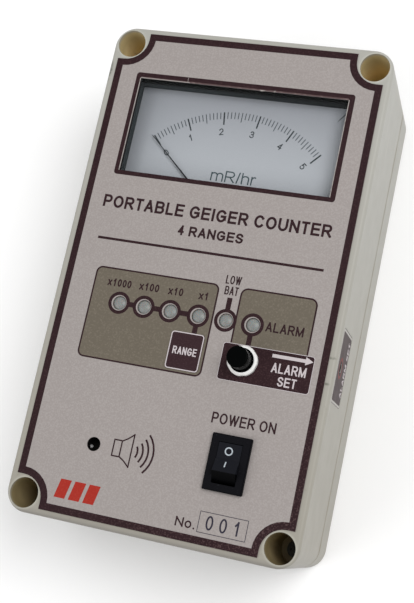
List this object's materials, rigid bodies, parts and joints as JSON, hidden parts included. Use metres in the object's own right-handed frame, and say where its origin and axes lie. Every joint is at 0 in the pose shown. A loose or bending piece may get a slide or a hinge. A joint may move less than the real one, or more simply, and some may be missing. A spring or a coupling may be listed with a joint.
{
  "type": "geiger counter",
  "caption": "Hand-held geiger counter: box with analogue meter, range lamps, range key, alarm button, rocker switch, sounder and an inner detector tube.",
  "frame": {"origin": "centre of the flat rear face that the counter lies on", "axes": "+Z out of the front panel, +Y towards the top of the panel (the meter's end), +X to the panel's right"},
  "size_m": [0.11, 0.19, 0.07],
  "materials": {
    "shell": "lightly textured moulded ivory ABS",
    "panel_label": "matt printed film, pinkish grey with brown print",
    "side_film": "matt printed film, dark brown",
    "clear_pane": "clear acrylic",
    "meter_black": "satin dark grey moulding",
    "dial_face": "matt white paint",
    "steel": "bright zinc-plated steel",
    "tube_steel": "drawn stainless steel",
    "sounder_plate": "bright plated disc",
    "brass": "plain brass",
    "copper_wire": "enamelled copper wire",
    "magnet": "ground magnet alloy",
    "ferrite": "dull sintered ferrite",
    "pointer_black": "matt black paint",
    "lamp_white": "milky diffused lens",
    "key_brown": "matt dark brown key",
    "black_plastic": "satin black plastic",
    "chrome": "bright chrome plate",
    "trimmer_blue": "blue moulded plastic",
    "board": "green solder-masked laminate",
    "film_capacitor": "dipped red resin",
    "can_capacitor": "blue sleeve",
    "battery_jacket": "plain dark grey jacket",
    "lead_red": "red insulated wire",
    "lead_grey": "pale insulated wire"
  },
  "bodies": {
    "case": {"front_shell": "shell", "rear_shell": "shell", "case_screws": "steel", "front_label": "panel_label", "side_label": "side_film", "meter_window": "clear_pane", "meter_housing": "meter_black", "meter_screws": "steel", "dial_plate": "dial_face", "dial_screws": "brass", "meter_yoke": "steel", "meter_core": "magnet", "meter_bridge": "brass", "jewel_screws": "brass", "upper_hairspring": "brass", "lower_hairspring": "brass", "meter_terminals": "brass", "led_x1000": "lamp_white", "led_x100": "lamp_white", "led_x10": "lamp_white", "led_x1": "lamp_white", "led_low_bat": "lamp_white", "led_alarm": "lamp_white", "led_leads": "steel", "range_switch": "black_plastic", "alarm_button_bushing": "black_plastic", "alarm_button_nut": "chrome", "alarm_button_body": "black_plastic", "alarm_button_spring": "steel", "alarm_button_terminals": "brass", "power_switch_frame": "black_plastic", "power_switch_terminals": "brass", "buzzer_case": "black_plastic", "buzzer_disc": "sounder_plate", "alarm_trimmer": "trimmer_blue", "main_board": "board", "board_screws": "steel", "logic_chips": "black_plastic", "hv_board": "board", "hv_transformer": "ferrite", "hv_coil": "copper_wire", "hv_capacitors": "film_capacitor", "smoothing_capacitors": "can_capacitor", "gm_tube": "tube_steel", "tube_caps": "black_plastic", "tube_clips": "brass", "battery": "battery_jacket", "battery_terminals": "steel", "battery_snap": "black_plastic", "battery_wires": "lead_red", "inner_wires": "lead_grey"},
    "movement": {"meter_coil": "copper_wire", "coil_staff": "steel", "needle": "pointer_black"},
    "rocker": {"power_rocker": "black_plastic"},
    "alarm_button": {"alarm_button_cap": "black_plastic"},
    "range_key": {"range_key": "key_brown", "range_plunger": "black_plastic"},
    "trimmer_rotor": {"trimmer_screw": "brass"},
    "battery_door": {"battery_cover": "shell"}
  },
  "joints": [
    {"name": "needle_swing", "type": "hinge", "parent": "case", "child": "movement", "pos_m": [0, 0.0246, 0.054], "axis": [0, 0, -1], "range_deg": [0, 97.2], "stiffness_Nm_per_rad": 0.00001},
    {"name": "rocker_tilt", "type": "hinge", "parent": "case", "child": "rocker", "pos_m": [0.0244, -0.0637, 0.0561], "axis": [1, 0, 0], "range_deg": [0, 30]},
    {"name": "alarm_button_press", "type": "slide", "parent": "case", "child": "alarm_button", "axis": [0, 0, -1], "range_m": [0, 0.0025], "stiffness_N_per_m": 600, "springref_m": -0.001, "deforming": ["alarm_button_spring"]},
    {"name": "range_key_press", "type": "slide", "parent": "case", "child": "range_key", "axis": [0, 0, -1], "range_m": [0, 0.0003], "stiffness_N_per_m": 1000, "springref_m": -0.0003},
    {"name": "trimmer_turn", "type": "hinge", "parent": "case", "child": "trimmer_rotor", "pos_m": [0.0475, -0.0223, 0.0495], "axis": [1, 0, 0], "range_deg": [-135, 135]},
    {"name": "battery_door_slide", "type": "slide", "parent": "case", "child": "battery_door", "axis": [0, -1, 0], "range_m": [0, 0.06]}
  ]
}
